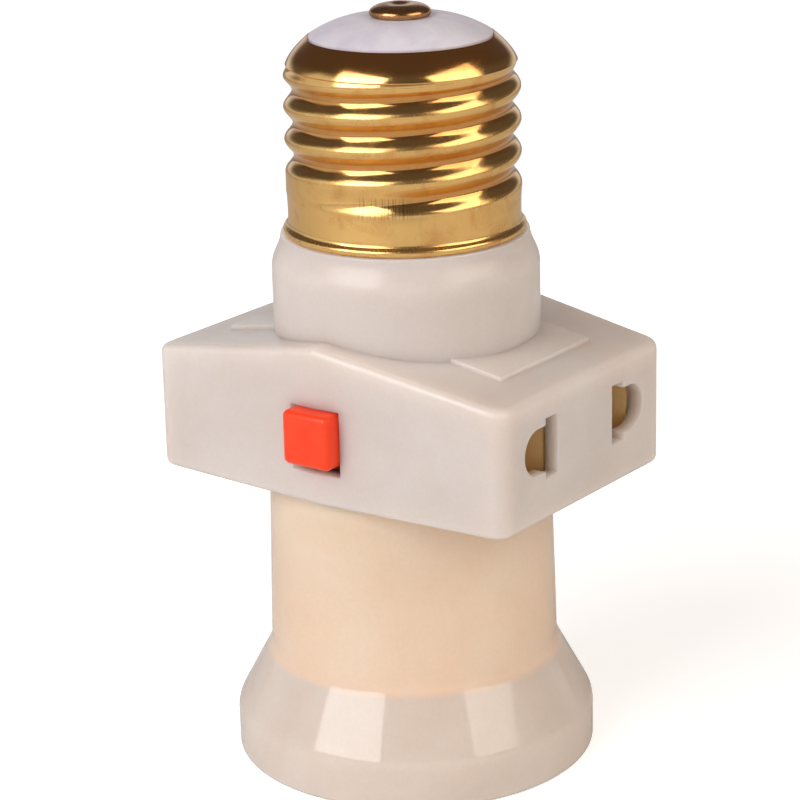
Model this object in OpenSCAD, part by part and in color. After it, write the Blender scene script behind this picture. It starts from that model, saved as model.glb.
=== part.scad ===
// Switched lamp socket: a screw-in adaptor with a lamp socket below, a two-pin outlet
// at each end of its box, and a slide switch for the lamp.
// It stands on its flared mouth. The origin is the centre of the mouth's rim, +Z is up
// towards the screw base, +X faces one outlet, and the switch is on the -Y side.

/* [Mouth and tube] */
// Radius of the flared mouth
mouth_r = 20.75; // [20.2:0.05:21.5]
// Height of the straight band round the mouth
band_h = 5.2; // [4.4:0.1:6]
// Height at which the flare meets the tube
flare_top = 13.3; // [12.8:0.1:14.2]
// Radius of the tube above the flare
tube_r = 16.6; // [16.3:0.05:17]
// Radius of the tube under the box
tube_top_r = 16.1; // [15.9:0.05:16.3]
// Radius of the bore that holds the lamp shell
bore_r = 14.95; // [14.9:0.05:15]
// Wall of the flared mouth
mouth_wall = 1.9; // [1.5:0.1:2.2]

/* [Box] */
// Length of the box between its two outlet faces
box_l = 47.6; // [47.2:0.1:48.4]
// Depth of the box at the outlet faces
box_end_w = 32.2; // [31.8:0.1:32.6]
// Depth of the box at its middle ridge
box_mid_w = 35.2; // [35:0.1:35.6]
// Height of the underside of the box
box_z = 33.8; // [33.6:0.1:34]
// Height of the box at the outlet faces
box_end_h = 14.3; // [14:0.1:14.6]
// Height of the box at the roof ridge
box_mid_h = 18.1; // [17.9:0.1:18.6]
// Wall of the box and neck
wall = 1.8; // [1.6:0.1:1.9]
// Radius of the upright corners
corner_r = 2.1; // [1.8:0.1:2.3]
// Rounding of the roof and underside edges
edge_r = 0.9; // [0.6:0.1:1]
// Height of the raised pads on the roof
pad_h = 0.45; // [0.3:0.05:0.6]

/* [Neck] */
// Radius of the neck
neck_r = 15; // [14.9:0.05:15.2]
// Height of the seat of the screw base
seat_z = 61.4; // [61:0.1:62]

/* [Screw base] */
// Pitch of both rolled threads
pitch = 3.63; // [3.6:0.01:3.66]
// Crest radius of the outer thread
crest_r = 13.2; // [13.1:0.05:13.25]
// Root radius of the outer thread
root_r = 12.15; // [12.1:0.05:12.3]
// Thickness of the brass shells
sheet = 0.4; // [0.35:0.05:0.45]
// Height of one crest on the +X side
crest_z = 76.9; // [75:0.1:78]
// Height of the screw base above its seat
base_h = 21.7; // [21.4:0.1:22]

/* [Outlets] */
// Distance of each round pin from the middle plane
pin_y = 9.2; // [9:0.1:9.4]
// Height of the pin holes
pin_z = 42; // [41.8:0.1:42.2]
// Radius of the round part of each pin hole
pin_hole_r = 2.6; // [2.5:0.05:2.7]
// Height of the flat blade slot
blade_h = 6.8; // [6.6:0.1:7]

/* [Switch] */
// Width of the knob
knob_w = 6.3; // [6.1:0.1:6.4]
// Height of the knob
knob_h = 6.2; // [6:0.1:6.3]
// Height of the knob's lower edge when it is up
knob_z = 38.7; // [38.6:0.05:38.8]
// How far the knob stands out of the ridge
knob_proud = 1.8; // [1.6:0.1:2]
// Travel of the knob
travel = 1.1; // [1.1:0.05:1.2]

/* [Hidden] */
$fn = 72;

milky = [0.90, 0.85, 0.81];
cream = [0.92, 0.84, 0.73];
brass = [0.80, 0.62, 0.30];
bronze = [0.74, 0.52, 0.28];
steel = [0.72, 0.72, 0.74];

eps = 0.01;
half_l = box_l / 2;
end_y = box_end_w / 2;
mid_y = box_mid_w / 2;
end_top = box_z + box_end_h;
mid_top = box_z + box_mid_h;
roof_slope = (mid_top - end_top) / half_l;
ridge_turn = atan((mid_y - end_y) / half_l);
ridge_r = 5;
plate_t = 1.8;
plate_top = box_z + plate_t;
land_y = 15.4;
spigot_r = 9.8;
spigot_top = 80;
strip_t = 0.5;
leaf_top = 45.6;
board_y = [-11.7, -10.7];
board_x = 8;
board_z = [37.4, 47.2];
screw_x = 19.2;
boss_r = 2.6;
screw_head_r = 2.4;
screw_r = 1.25;
boss_z = plate_top + 0.8;
rivet_x = 10.5;
tongue_x = 6.1;
rivet_r = 1.2;
post_x = 14.4;
post_y = 9.5;
post_r = 1;
shell_lip_z = 11.4;
strap_z = 64.4;
fit = 0.05;
window_gap = 0.12;
window_z = [knob_z - travel - fit, knob_z + knob_h + window_gap];
bridge_z = knob_z + 4.3;
groove_run = 0.65;
around_base = 48;
around_socket = 36;

// Height of the roof's outer face at x
function roof_z(x) = mid_top - roof_slope * abs(x);

// Moves a flat shape into the YZ plane and draws it out along X, or the XZ plane along Y
module along_x(x0, x1) translate([x0, 0, 0]) rotate([90, 0, 90]) linear_extrude(x1 - x0) children();
module along_y(y0, y1) translate([0, y1, 0]) rotate([90, 0, 0]) linear_extrude(y1 - y0) children();

// A block given by its two corners
module block(low, high) translate(low) cube(high - low);

// A sheet strip of even thickness along a path, with mitred folds
function path_normal(p, i) = let (d = p[i + 1] - p[i]) [-d.y, d.x] / norm(d);
function fold_normal(p, i) =
    i == 0 ? path_normal(p, 0)
    : i == len(p) - 1 ? path_normal(p, i - 1)
    : let (m = path_normal(p, i - 1) + path_normal(p, i)) m * 2 / (m * m);
module strip(path, t = strip_t) {
    last = len(path) - 1;
    polygon(concat([for (i = [0:last]) path[i] + fold_normal(path, i) * t / 2],
                   [for (i = [last:-1:0]) path[i] - fold_normal(path, i) * t / 2]));
}

// Centre and turn of each rounded corner on the right half of the box's plan
end_normal = [sin(ridge_turn), cos(ridge_turn)];
face_reach = end_normal * [half_l, end_y];
corner_c = [half_l - corner_r, (face_reach - corner_r - end_normal.x * (half_l - corner_r)) / end_normal.y];
ridge_c = (face_reach - ridge_r) / end_normal.y;
function arc(c, r, a0, a1, n) = [for (i = [0:n]) let (a = a0 + (a1 - a0) * i / n) c + r * [cos(a), sin(a)]];

// Plan of the box drawn in by an inset, from the front ridge round to the front ridge
function half_plan(inset) = concat(
    arc([0, -ridge_c], ridge_r - inset, -90, -90 + ridge_turn, 1),
    arc([corner_c.x, -corner_c.y], corner_r - inset, -90 + ridge_turn, 0, 5),
    arc(corner_c, corner_r - inset, 0, 90 - ridge_turn, 5),
    arc([0, ridge_c], ridge_r - inset, 90 - ridge_turn, 90, 1));
function box_plan(inset) =
    let (h = half_plan(inset), n = len(h)) concat(h, [for (i = [n - 2:-1:1]) [-h[i].x, h[i].y]]);

// The closed box with rounded edges and a roof that falls to both outlet faces
module box_outer() {
    turns = [0, 30, 60, 90];
    rings = concat(
        [for (a = turns) [for (p = box_plan(edge_r * (1 - sin(a)))) [p.x, p.y, box_z + edge_r * (1 - cos(a))]]],
        [for (a = turns) [for (p = box_plan(edge_r * (1 - cos(a))))
            [p.x, p.y, roof_z(p.x) - edge_r * (1 - sin(a))]]]);
    n = len(rings[0]);
    top = (len(rings) - 1) * n;
    polyhedron(
        points = [for (r = rings) each r],
        faces = concat(
            [[for (i = [0:n - 1]) i]],
            [for (k = [0:len(rings) - 2], i = [0:n - 1])
                let (j = (i + 1) % n, a = k * n, b = a + n) each [[a + i, b + i, b + j], [a + i, b + j, a + j]]],
            [[for (i = [n / 2:-1:0]) top + i]],
            [[for (i = [n:-1:n / 2]) top + i % n]]));
}

// Plan of the hollow inside the walls, cut flat behind the switch
module hollow_plan(gap = 0) {
    x = half_l - wall - gap;
    y_end = end_y - wall - gap;
    y_mid = mid_y - wall - gap;
    intersection() {
        polygon([[x, -y_end], [x, y_end], [0, y_mid], [-x, y_end], [-x, -y_end], [0, -y_mid]]);
        translate([-half_l, -land_y + gap]) square([box_l, box_mid_w]);
    }
}

module box_hollow() {
    intersection() {
        translate([0, 0, box_z - 1]) linear_extrude(box_mid_h + 2) hollow_plan();
        along_y(-mid_y, mid_y)
            polygon([[-half_l, box_z - 1], [half_l, box_z - 1], [half_l, end_top - wall], [0, mid_top - wall],
                     [-half_l, end_top - wall]]);
    }
}

// Outline of one two-pin hole: a blade slot joined to a round hole on its outer side
module pin_outline() {
    translate([pin_y, pin_z]) circle(pin_hole_r);
    translate([pin_y - 3, pin_z - pin_hole_r]) square([3, 2 * pin_hole_r]);
    translate([pin_y - 3.8, pin_z - blade_h / 2]) square([2.4, blade_h]);
}

module pin_holes() {
    for (side = [-1, 1], hand = [-1, 1])
        scale([side, hand, 1]) along_x(half_l - 2 * wall, half_l + 1) pin_outline();
}

// Neck with its S-shaped shoulder, and the spigot that goes up inside the screw base
shoulder_h = 3.8;
shoulder_in = 1.1;
module neck() {
    low = seat_z - shoulder_h - 1;
    shoulder = [for (i = [0:10]) [neck_r - shoulder_in * (1 - cos(18 * i)) / 2, seat_z - shoulder_h * (1 - i / 10)]];
    band_r = crest_r - sheet - 2 * fit;
    rotate_extrude($fn = 96) polygon(concat(
        [[neck_r - wall, low], [neck_r, low]], shoulder,
        [[band_r, seat_z], [band_r, seat_z + 4.2], [root_r - sheet - 0.15, seat_z + 5],
         [root_r - sheet - 0.15, spigot_top], [spigot_r, spigot_top], [spigot_r, seat_z - 2.4],
         [neck_r - wall, seat_z - 3.6]]));
}

module roof_pads() {
    inner = neck_r - 3;
    outer = 18.7;
    for (side = [-1, 1])
        scale([side, 1, 1]) along_y(-8.8, 8.8)
            polygon([[inner, roof_z(inner) - 1], [outer, roof_z(outer) - 1], [outer, roof_z(outer) + pad_h],
                     [inner, roof_z(inner) + pad_h]]);
}

// Upper housing: the box, open below, with the neck, the switch guides and the screw bosses
module upper_housing() {
    color(milky) difference() {
        union() {
            difference() {
                union() {
                    box_outer();
                    roof_pads();
                    translate([0, 0, box_z + 5]) cylinder(r = neck_r, h = seat_z - shoulder_h - box_z - 5, $fn = 96);
                }
                box_hollow();
                translate([0, 0, box_z]) cylinder(r = neck_r - wall, h = seat_z, $fn = 96);
            }
            neck();
            for (side = [-1, 1]) scale([side, 1, 1]) {
                // Screw boss with its web to the end wall
                translate([screw_x, 0, boss_z]) cylinder(r = boss_r, h = roof_z(screw_x) - wall / 2 - boss_z);
                block([screw_x, -0.6, boss_z], [half_l - wall / 2, 0.6, end_top - wall / 2]);
                // Guide beside the knob's flange, and a hanger for the switch board
                block([knob_w / 2 + 1.85, -land_y - 0.4, plate_top + 0.6], [knob_w / 2 + 3.1, -12.9, roof_z(5) - 1]);
                block([board_x - 0.6, -13.2, 39.5], [board_x + 1.4, -9.6, roof_z(board_x) - 1]);
            }
        }
        // Window for the knob
        block([-knob_w / 2 - window_gap, -mid_y - 1, window_z[0]], [knob_w / 2 + window_gap, -land_y + 1, window_z[1]]);
        pin_holes();
        // Grooves for the switch board, pilot holes and the way out for the neutral strap
        block([-board_x - 0.1, board_y[0] - fit, board_z[0] - 1], [board_x + 0.1, board_y[1] + fit, board_z[1] + 0.2]);
        for (side = [-1, 1]) translate([side * screw_x, 0, plate_top]) cylinder(r = screw_r + fit, h = 9.4);
        block([-1.4, 9, strap_z - 0.5], [1.4, 13, strap_z + 0.5]);
    }
}

// Points that round the corner at p between a and b, over a reach along each side
function bend(a, p, b, reach, n = 4) = [for (i = [0:n]) let (t = i / n)
    p + reach * (pow(1 - t, 2) * (a - p) / norm(a - p) + pow(t, 2) * (b - p) / norm(b - p))];

// Lower moulding: the flared mouth, the tube and the plate that closes the box
module socket_body() {
    lip_r = 0.9;
    rim = [for (a = [0:15:90]) [mouth_r - lip_r * (1 - sin(a)), lip_r * (1 - cos(a))]];
    brow = bend([mouth_r, 0], [mouth_r, band_h], [tube_r, flare_top], 0.9);
    waist = bend([mouth_r, band_h], [tube_r, flare_top], [tube_top_r, box_z], 1);
    inner_r = mouth_r - mouth_wall;
    color(cream) difference() {
        union() {
            rotate_extrude($fn = 96) polygon(concat(
                [[inner_r + 0.5, 0]], rim, brow, waist,
                [[tube_top_r, box_z], [bore_r + 0.3, box_z], [bore_r + 0.3, box_z + 0.5], [bore_r, box_z + 0.5],
                 [bore_r, shell_lip_z - 0.1], [inner_r, band_h - 0.6], [inner_r, 0.5]]));
            translate([0, 0, box_z]) linear_extrude(plate_t) hollow_plan(0.1);
            for (side = [-1, 1]) {
                translate([side * screw_x, 0, plate_top - eps]) cylinder(r = boss_r + 0.2, h = boss_z - plate_top);
                // Rests for the switch board
                scale([side, 1, 1])
                    block([board_x - 0.7, board_y[0] - 0.5, plate_top - eps], [board_x + 0.6, board_y[1] + 0.4, board_z[0]]);
                // Staked posts that hold the two contact strips
                for (hand = [-1, 1]) translate([side * post_x, hand * post_y, plate_top - eps]) {
                    cylinder(r = post_r, h = 1.1);
                    translate([0, 0, strip_t + eps]) cylinder(r1 = post_r + 0.5, r2 = post_r + 0.1, h = 0.7);
                }
            }
        }
        for (side = [-1, 1]) {
            translate([side * screw_x, 0, box_z - 1]) cylinder(r = screw_r + 0.2, h = 5);
            translate([side * screw_x, 0, box_z - 1]) cylinder(r = screw_head_r + 0.2, h = 2);
            translate([side * rivet_x, 0, box_z - 1]) cylinder(r = rivet_r + fit, h = 5);
        }
        translate([tongue_x, 0, box_z - 1]) cylinder(r = rivet_r + fit, h = 5);
    }
}

// How far the groove has grown at a point of the thread: nothing until the middle of that
// turn of groove is above first_z, then full depth within a part of a turn
function groove_growth(z, turn, first_z) =
    let (middle_z = z + pitch * (180 + 360 * floor(turn / 360) - turn) / 360,
         s = min(1, max(0, (middle_z - first_z) / groove_run)))
    s * s * (3 - 2 * s);

// A closed sheet shell: rings of points that follow a profile, with a thread on part of it.
// Each profile point is [mean radius, height, thread depth].
module threaded_sheet(profile, around, phase_z, first_z) {
    n = len(profile);
    polyhedron(
        points = [for (p = profile, i = [0:around - 1])
            let (a = 360 * i / around, turn = 360 * (p[1] - phase_z) / pitch - a,
                 r = p[0] + p[2] * (1 - (1 - cos(turn)) * groove_growth(p[1], turn, first_z)))
            [r * cos(a), r * sin(a), p[1]]],
        faces = [for (k = [0:n - 1], i = [0:around - 1])
            let (j = (i + 1) % around, a = k * around, b = ((k + 1) % n) * around)
            each [[a + i, b + i, b + j], [a + i, b + j, a + j]]]);
}

// Rows of the thread up to a height, where it fades out over a part of a turn
function thread_rows(r, depth, z0, z1, step, run) =
    [for (i = [0:floor((z1 - z0) / step)]) let (z = z0 + i * step) [r, z, depth * min(1, max(0, (z1 - z) / run))]];
function backwards(list) = [for (i = [len(list) - 1:-1:0]) list[i]];

// Screw base: rolled bead, plain band, coarse rolled thread and a turned-in top
module screw_shell() {
    top = seat_z + base_h;
    mean = (crest_r + root_r) / 2;
    depth = (crest_r - root_r) / 2;
    thread_out = thread_rows(mean, depth, seat_z + 4.8, seat_z + 18.8, pitch / 8, 1.3);
    thread_in = [for (p = thread_out) [p[0] - sheet, p[1], p[2]]];
    bead = [for (a = [-90:30:60]) [crest_r + 0.05 + 0.48 * cos(a), seat_z + 0.48 + 0.48 * sin(a), 0]];
    dome = [for (i = [0:5]) let (t = 0.25 + 0.15 * i)
        [crest_r - 0.25 - 2.55 * pow(t, 1.7), top - 3.6 * (1 - t), 0]];
    dome_in = [for (p = dome) [p[0] - sheet * 0.8, p[1] - sheet * 0.7, 0]];
    color(brass) threaded_sheet(concat(
        bead, [[crest_r - 0.05, seat_z + 1.5, 0], [crest_r, seat_z + 4.4, 0]], thread_out, dome,
        backwards(dome_in), backwards(thread_in),
        [[crest_r - sheet, seat_z + 4.4, 0], [crest_r - 0.05 - sheet, seat_z + 0.3, 0]]),
        around_base, crest_z, seat_z + 5.5);
}

// Insulating cap that closes the screw base and carries the centre contact
module base_insulator() {
    top = seat_z + base_h;
    crown = [for (i = [0:8]) [3.9 + 6.2 * i / 8, top + 2.1 - 1.9 * pow(i / 8, 2)]];
    color([0.88, 0.85, 0.88]) rotate_extrude() polygon(concat(
        [[1.3, top + 2.1]], crown,
        [[10.05, top - 0.3], [10.5, top - 1], [11, top - 1.6], [11.25, top - 2.2],
         [11.25, spigot_top], [8, spigot_top], [7.4, top - 0.6], [1.3, top - 0.6]]));
}

// Riveted centre contact: domed head with a shallow dimple, stem and swaged foot
module centre_contact() {
    seat = seat_z + base_h + 2.1;
    foot = seat_z + base_h - 0.6 - strip_t;
    head = [for (i = [0:5]) let (a = 18 * i) [1.3 + 2.15 * cos(a), seat + 0.4 + sin(a)]];
    color(bronze) rotate_extrude() polygon(concat(
        [[0, foot - 0.5], [2.1, foot - 0.5], [2.1, foot], [1.25, foot], [1.25, seat], [3.4, seat]], head,
        [[1, seat + 1.25], [0, seat + 1.15]]));
}

// Folded strip from the centre contact down the neck to the live contact strip
module live_lead() {
    tab_z = seat_z + base_h - 0.6 - strip_t / 2;
    color(bronze) difference() {
        union() {
            along_x(-1.5, 1.5)
                strip([[0, tab_z], [-2.6, tab_z], [-2.6, 48.5], [-8.4, 44.5], [-8.4, plate_top + strip_t]]);
            translate([0, 0, tab_z - strip_t / 2]) cylinder(r = 2.4, h = strip_t);
        }
        translate([0, 0, tab_z - 1]) cylinder(r = 1.3, h = 2);
    }
}

// Strap that touches the screw base through the spigot and lands on the neutral strip
module neutral_strap() {
    color(brass) along_x(-1.2, 1.2) strip([[12.66, strap_z], [9.15, strap_z], [9.15, plate_top + strip_t]]);
}

// One contact strip: a web on the plate with three sprung leaves at each end
module contact_strip() {
    leaves = [[[10.2, 5.15], [15, 5.35], [17.2, 5.5], [21.6, 4.95]],
              [[10.2, 7.2], [16.4, 7.1], [18.7, 7.5]],
              [[10.2, 11.85], [13.4, 11.6], [16.4, 11.1], [21.6, 11.8]]];
    difference() {
        union() {
            block([-10.5, 6.9, plate_top], [10.5, 9.9, plate_top + strip_t]);
            for (side = [-1, 1]) scale([side, 1, 1]) {
                block([10.2, 4.9, plate_top], [18, 12.1, plate_top + strip_t]);
                for (leaf = leaves)
                    translate([0, 0, plate_top]) linear_extrude(leaf_top - plate_top) strip(leaf);
            }
        }
        for (side = [-1, 1]) translate([side * post_x, post_y, plate_top - 1]) cylinder(r = post_r + fit, h = 3);
    }
}

module live_bus() color(brass) scale([1, -1, 1]) contact_strip();

module neutral_bus() {
    color(brass) {
        contact_strip();
        difference() {
            block([-12.4, -1.9, plate_top], [-8.6, 7.5, plate_top + strip_t]);
            translate([-rivet_x, 0, plate_top - 1]) cylinder(r = rivet_r + fit, h = 3);
        }
    }
}

// Insulating board behind the knob, notched for the lamp contact
module switch_board() {
    color([0.45, 0.30, 0.18]) difference() {
        block([-board_x, board_y[0], board_z[0]], [board_x, board_y[1], board_z[1]]);
        block([4.9, board_y[0] - 1, board_z[0] - 1], [7.3, board_y[1] + 1, 39]);
    }
}

// Contact pad and leg shared by the two fixed contacts, on the front of the board
pad_t = 0.4;
pad_z = [bridge_z - 0.3, bridge_z + 1.8];
leg_x = [5.2, 7];
module fixed_pad(leg_z) {
    front = board_y[0] - pad_t;
    block([1.4, front, pad_z[0]], [leg_x[1], board_y[0], pad_z[1]]);
    block([leg_x[0], front, leg_z], [leg_x[1], board_y[0], pad_z[0] + 1]);
}

module feed_contact() {
    foot = plate_top + strip_t;
    color(bronze) scale([-1, 1, 1]) {
        fixed_pad(foot);
        block([leg_x[0], board_y[0] - pad_t, foot], [leg_x[1], -7.6, foot + pad_t]);
    }
}

module lamp_contact() {
    cross_z = 38.2;
    color(bronze) difference() {
        union() {
            fixed_pad(cross_z);
            along_x(leg_x[0], leg_x[1])
                strip([[board_y[0] - pad_t, cross_z + pad_t / 2], [-3.4, cross_z + pad_t / 2],
                       [-3.4, plate_top + pad_t / 2], [-1.4, plate_top + pad_t / 2]], pad_t);
            block([tongue_x - 1.9, -1.9, plate_top], [tongue_x + 1.9, 1.9, plate_top + pad_t]);
        }
        translate([tongue_x, 0, plate_top - 1]) cylinder(r = rivet_r + fit, h = 3);
    }
}

// Slide knob: a rounded block, a retaining flange behind the wall and a frame for the bridge
module rounded_square(size, r) {
    translate([r, 0]) square([size.x - 2 * r, size.y]);
    translate([0, r]) square([size.x, size.y - 2 * r]);
    for (x = [r, size.x - r], y = [r, size.y - r]) translate([x, y]) circle(r);
}

module switch_knob() {
    front = -mid_y - knob_proud;
    flange_y = -land_y + 0.15;
    back_y = flange_y + 1.45;
    round_r = 0.75;
    color([0.98, 0.33, 0.16]) difference() {
        union() {
            intersection() {
                along_y(front, flange_y + 0.5)
                    translate([-knob_w / 2, knob_z]) rounded_square([knob_w, knob_h], round_r);
                along_x(-knob_w, knob_w)
                    translate([front, knob_z]) rounded_square([-front, knob_h], round_r);
                translate([0, 0, knob_z - 1]) linear_extrude(knob_h + 2)
                    translate([-knob_w / 2, front]) rounded_square([knob_w, -front], round_r);
            }
            block([-knob_w / 2 - 1.6, flange_y, knob_z - 1.5], [knob_w / 2 + 1.6, back_y, knob_z + 7.8]);
            block([-knob_w / 2 - 1.6, back_y - eps, bridge_z - 2.4], [knob_w / 2 + 1.6, -12.6, bridge_z + 2.4]);
        }
        block([-3.95, back_y, bridge_z - 1.75], [3.95, -12, bridge_z + 1.75]);
        translate([0, -12, bridge_z]) rotate([90, 0, 0]) cylinder(r = 1.35, h = 5.4);
    }
}

// Coil spring between the knob and the bridge
module knob_spring() {
    wire = 0.16;
    coil_r = 1.05;
    turns = 5;
    per_turn = 10;
    y0 = -17.2;
    y1 = -13.1;
    sides = 6;
    rings = turns * per_turn;
    points = [for (k = [0:rings], s = [0:sides - 1])
        let (a = 360 * k / per_turn, b = 360 * s / sides, r = coil_r + wire * cos(b))
        [r * cos(a), y0 + (y1 - y0) * k / rings + wire * sin(b), bridge_z + r * sin(a)]];
    color(steel) polyhedron(points, concat(
        [[for (s = [0:sides - 1]) s]],
        [[for (s = [sides - 1:-1:0]) rings * sides + s]],
        [for (k = [0:rings - 1], s = [0:sides - 1])
            let (t = (s + 1) % sides, a = k * sides, b = a + sides) each [[a + s, b + s, b + t], [a + s, b + t, a + t]]]));
}

// Bridge that joins the two fixed contacts while the knob is up
module contact_bridge() {
    face = board_y[0] - pad_t - 0.1;
    color(brass) {
        block([-3.8, face - 0.7, bridge_z - 1.6], [3.8, face - 0.3, bridge_z + 1.6]);
        for (side = [-1, 1]) translate([side * 2.8, face, bridge_z]) rotate([90, 0, 0]) cylinder(r = 0.5, h = 0.4);
    }
}

// Lamp shell: turned-out lip, rolled inner thread and a flat base with two rivet holes
module socket_shell() {
    lip_z = shell_lip_z;
    base_z = box_z;
    mean = 13.1;
    rows = thread_rows(mean, 0.5, lip_z + 1.2, base_z - 1.6, pitch / 6, 1.4);
    rows_in = [for (p = rows) [p[0] - sheet, p[1], p[2]]];
    color(brass) difference() {
        threaded_sheet(concat(
            [[bore_r - 0.15, lip_z, 0], [bore_r - 0.15, lip_z + sheet, 0], [mean + 0.75, lip_z + 0.6, 0]], rows,
            [[mean - 0.1, base_z - 0.7, 0], [mean - 0.6, base_z, 0], [8, base_z, 0], [8, base_z - sheet, 0],
             [mean - 0.8, base_z - sheet, 0], [mean - 0.5, base_z - 1, 0]], backwards(rows_in),
            [[mean + 0.3, lip_z + 0.2, 0], [mean + 0.7, lip_z, 0]]),
            around_socket, lip_z, lip_z + 2);
        for (side = [-1, 1]) translate([side * rivet_x, 0, base_z - 1]) cylinder(r = rivet_r + fit, h = 2);
    }
}

// Sprung tongue that presses on the lamp's centre contact
module centre_tongue() {
    root_z = box_z - pad_t / 2;
    color(bronze) difference() {
        along_y(-2.5, 2.5)
            strip([[7.5, root_z], [3.9, root_z], [1.7, root_z - 3.2], [-1.6, root_z - 3.4], [-4.4, root_z - 1.2]], pad_t);
        translate([tongue_x, 0, box_z - 2]) cylinder(r = rivet_r + fit, h = 3);
    }
}

// A rivet along Z with a low dome at each end
module rivet(z0, z1, head_r) {
    dome = [for (a = [0:22.5:90]) [head_r * cos(a), 0.6 * sin(a)]];
    rotate_extrude() polygon(concat(
        [for (p = backwards(dome)) [p.x, z0 - p.y]], [[rivet_r, z0], [rivet_r, z1]],
        [for (p = dome) [p.x, z1 + p.y]]));
}

module tongue_rivet() {
    color(steel) translate([tongue_x, 0, 0]) rivet(box_z - pad_t, plate_top + pad_t, 1.6);
}

module shell_rivets() {
    color(steel) {
        translate([-rivet_x, 0, 0]) rivet(box_z - sheet, plate_top + strip_t, 1.7);
        translate([rivet_x, 0, 0]) rivet(box_z - sheet, plate_top, 1.7);
    }
}

// The two screws that hold the lower moulding to the box, with cross slots below
module housing_screws() {
    head_z = box_z + 0.05;
    seat = box_z + 1;
    tip = plate_top + 8.6;
    color(steel) for (side = [-1, 1]) translate([side * screw_x, 0, 0]) difference() {
        rotate_extrude() polygon([[0, head_z], [screw_head_r - 0.4, head_z], [screw_head_r, head_z + 0.35],
                                  [screw_head_r, seat], [screw_r, seat], [screw_r, tip - 1.2], [0.4, tip], [0, tip]]);
        for (turn = [0, 90]) rotate(turn) block([-1.5, -0.32, head_z - 1], [1.5, 0.32, head_z + 0.6]);
    }
}

screw_shell();
base_insulator();
centre_contact();
live_lead();
neutral_strap();
upper_housing();
socket_body();
housing_screws();
switch_knob();
knob_spring();
contact_bridge();
switch_board();
feed_contact();
lamp_contact();
live_bus();
neutral_bus();
socket_shell();
centre_tongue();
tongue_rivet();
shell_rivets();
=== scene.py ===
import math
import bmesh
import bpy
from mathutils import Matrix, Vector


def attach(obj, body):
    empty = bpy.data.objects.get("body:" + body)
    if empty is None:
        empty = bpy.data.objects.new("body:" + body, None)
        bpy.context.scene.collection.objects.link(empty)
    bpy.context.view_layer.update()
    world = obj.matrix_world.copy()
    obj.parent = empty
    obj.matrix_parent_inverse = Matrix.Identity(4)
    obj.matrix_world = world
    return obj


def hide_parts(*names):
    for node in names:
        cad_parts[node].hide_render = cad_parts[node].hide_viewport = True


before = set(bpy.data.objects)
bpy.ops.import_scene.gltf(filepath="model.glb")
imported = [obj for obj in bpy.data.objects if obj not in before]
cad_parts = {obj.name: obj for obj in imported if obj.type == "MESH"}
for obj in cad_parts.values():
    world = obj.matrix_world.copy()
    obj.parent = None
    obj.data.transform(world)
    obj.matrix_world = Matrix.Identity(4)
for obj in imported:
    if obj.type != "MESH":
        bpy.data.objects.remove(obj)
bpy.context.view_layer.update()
mm = 0.001
print("frame loaded")


# Mesh tools: every outline below is in millimetres, in the frame of the CAD

sharpFrom = 35  # an edge stays hard where its faces meet at more than this many degrees
rollSharp = 50  # the same for rolled shells and the box, whose faces turn faster
mostOfSide = 0.49  # a rounding takes up to this share of the sides next to it


def newPiece(name, verts, faces, sharp=sharpFrom):
    mesh = bpy.data.meshes.new(name)
    mesh.from_pydata([(x * mm, y * mm, z * mm) for x, y, z in verts], [], faces)
    mesh.validate()
    piece = bpy.data.objects.new(name, mesh)
    bpy.context.scene.collection.objects.link(piece)
    softShade(piece, sharp)
    return piece


def newSolid(name, verts, faces, sharp=sharpFrom):  # a closed piece with every face looking out
    piece = newPiece(name, verts, faces, sharp)
    work = bmesh.new()
    work.from_mesh(piece.data)
    bmesh.ops.recalc_face_normals(work, faces=work.faces)
    work.to_mesh(piece.data)
    work.free()
    return piece


def softShade(piece, sharp=sharpFrom):
    piece.data.polygons.foreach_set("use_smooth", [True] * len(piece.data.polygons))
    piece.data.set_sharp_from_angle(angle=math.radians(sharp))


def applyModifiers(piece):
    bpy.context.view_layer.update()
    mesh = bpy.data.meshes.new_from_object(piece.evaluated_get(bpy.context.evaluated_depsgraph_get()))
    piece.modifiers.clear()
    old, piece.data = piece.data, mesh
    bpy.data.meshes.remove(old)
    softShade(piece)


def combine(piece, others, how):  # how is UNION, DIFFERENCE or INTERSECT; the other pieces are used up
    for other in others:
        cut = piece.modifiers.new("cut", "BOOLEAN")
        cut.operation, cut.solver, cut.object = how, "EXACT", other
        applyModifiers(piece)
        bpy.data.objects.remove(other)


def roundEdges(piece, width, segments, angle=38):  # only edges that turn by more than the angle
    bevel = piece.modifiers.new("edges", "BEVEL")
    bevel.width, bevel.segments = width * mm, segments
    bevel.limit_method, bevel.angle_limit = "ANGLE", math.radians(angle)
    bevel.use_clamp_overlap = True
    applyModifiers(piece)


def addRing(verts, rings, points):
    rings.append(list(range(len(verts), len(verts) + len(points))))
    verts += points


def ringFaces(rings, closed=True):  # quads between rings of vertex numbers, and fans at single points
    faces = []
    pairs = zip(rings, rings[1:] + rings[:1]) if closed else zip(rings, rings[1:])
    for a, b in pairs:
        n = max(len(a), len(b))
        if n == 1:
            continue
        for i in range(n):
            j = (i + 1) % n
            face = [a[i % len(a)], a[j % len(a)], b[j % len(b)], b[i % len(b)]]
            faces.append([v for k, v in enumerate(face) if v != face[k - 1]])
    return faces


def revolved(name, profile, steps, closed=True, sharp=sharpFrom, at=(0, 0)):
    verts, rings = [], []
    turns = [2 * math.pi * i / steps for i in range(steps)]
    for r, z in profile:
        used = turns if r > 0 else turns[:1]  # a single point where the profile meets the axis
        addRing(verts, rings, [(at[0] + r * math.cos(a), at[1] + r * math.sin(a), z) for a in used])
    return newSolid(name, verts, ringFaces(rings, closed), sharp)


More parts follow.
